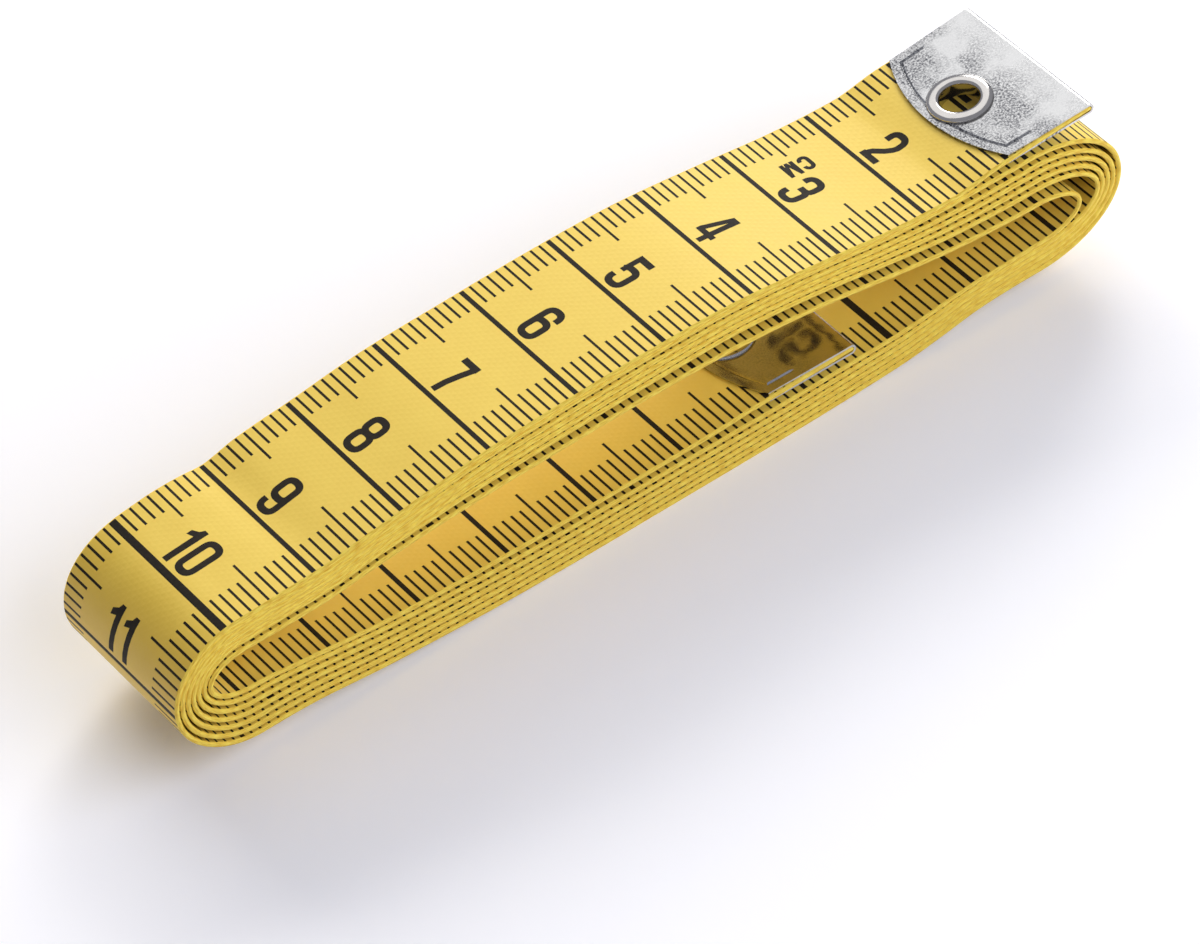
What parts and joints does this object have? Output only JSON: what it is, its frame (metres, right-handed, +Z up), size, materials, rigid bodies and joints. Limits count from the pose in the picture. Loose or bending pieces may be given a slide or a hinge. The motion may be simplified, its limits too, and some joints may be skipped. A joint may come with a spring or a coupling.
{
  "type": "cloth tape measure",
  "caption": "Flexible tailor's tape measure wound flat into a long oval loop, with a folded metal tip and an eyelet at each end, for measuring bodies and fabric.",
  "frame": {"origin": "on the surface that the loop lies on, under the middle of its length and width", "axes": "+X along the loop towards the outer tip, +Y across the tape away from the viewer, +Z up"},
  "size_m": [0.1088, 0.019, 0.0199],
  "materials": {
    "printed_tape": "yellow satin vinyl coating over woven glass-fibre cloth, printed in near-black ink",
    "tip_sheet": "bright tin-plated sheet steel, lightly mottled and scuffed",
    "eyelet_metal": "polished nickel-plated"
  },
  "bodies": {
    "winding": {"tape_winding": "printed_tape"},
    "outer_end": {"tape_outer_end": "printed_tape", "outer_tip_clip": "tip_sheet", "outer_tip_eyelet": "eyelet_metal"},
    "inner_end": {"tape_inner_end": "printed_tape", "inner_tip_clip": "tip_sheet", "inner_tip_eyelet": "eyelet_metal"}
  },
  "joints": [
    {"name": "outer_end_lift", "type": "hinge", "parent": "winding", "child": "outer_end", "pos_m": [0.008, 0, 0.0197], "axis": [0, -1, 0], "range_deg": [0, 110]},
    {"name": "inner_end_lift", "type": "hinge", "parent": "winding", "child": "inner_end", "pos_m": [-0.008, 0, 0.00567], "axis": [0, -1, 0], "range_deg": [0, 10]}
  ]
}
